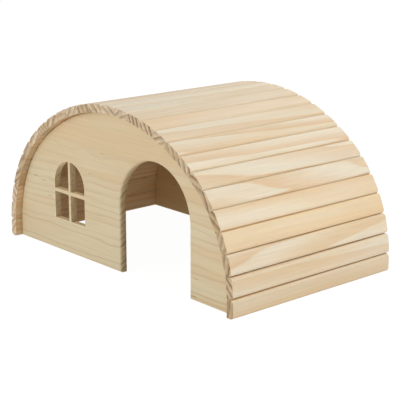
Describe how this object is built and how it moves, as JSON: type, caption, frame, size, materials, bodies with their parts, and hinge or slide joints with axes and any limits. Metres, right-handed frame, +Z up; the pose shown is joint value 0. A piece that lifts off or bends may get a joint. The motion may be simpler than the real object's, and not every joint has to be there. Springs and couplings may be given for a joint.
{
  "type": "rabbit house",
  "caption": "Arched wooden rabbit house, open underneath: a slatted barrel roof on two end boards, with a round-headed doorway and a small arched window in the front.",
  "frame": {"origin": "on the ground, at the middle of the footprint over the roof slats", "axes": "+X to the right seen from the front, +Y from the front board to the back board, +Z up"},
  "size_m": [0.42, 0.248, 0.197],
  "materials": {
    "pine_board": "planed, unfinished",
    "pine_slat": "planed, unfinished",
    "brad_steel": "bright drawn wire"
  },
  "bodies": {
    "root": {"front_panel": "pine_board", "back_panel": "pine_board", "roof_slat_01": "pine_slat", "roof_slat_02": "pine_slat", "roof_slat_03": "pine_slat", "roof_slat_04": "pine_slat", "roof_slat_05": "pine_slat", "roof_slat_06": "pine_slat", "roof_slat_07": "pine_slat", "roof_slat_08": "pine_slat", "roof_slat_09": "pine_slat", "roof_slat_10": "pine_slat", "roof_slat_11": "pine_slat", "roof_slat_12": "pine_slat", "roof_slat_13": "pine_slat", "roof_slat_14": "pine_slat", "roof_slat_15": "pine_slat", "roof_slat_16": "pine_slat", "roof_slat_17": "pine_slat", "roof_slat_18": "pine_slat", "roof_slat_19": "pine_slat", "roof_slat_20": "pine_slat", "roof_slat_21": "pine_slat", "roof_slat_22": "pine_slat", "roof_slat_23": "pine_slat", "roof_slat_24": "pine_slat", "roof_slat_25": "pine_slat", "roof_slat_26": "pine_slat", "roof_slat_27": "pine_slat", "front_brads": "brad_steel", "back_brads": "brad_steel"}
  },
  "joints": []
}
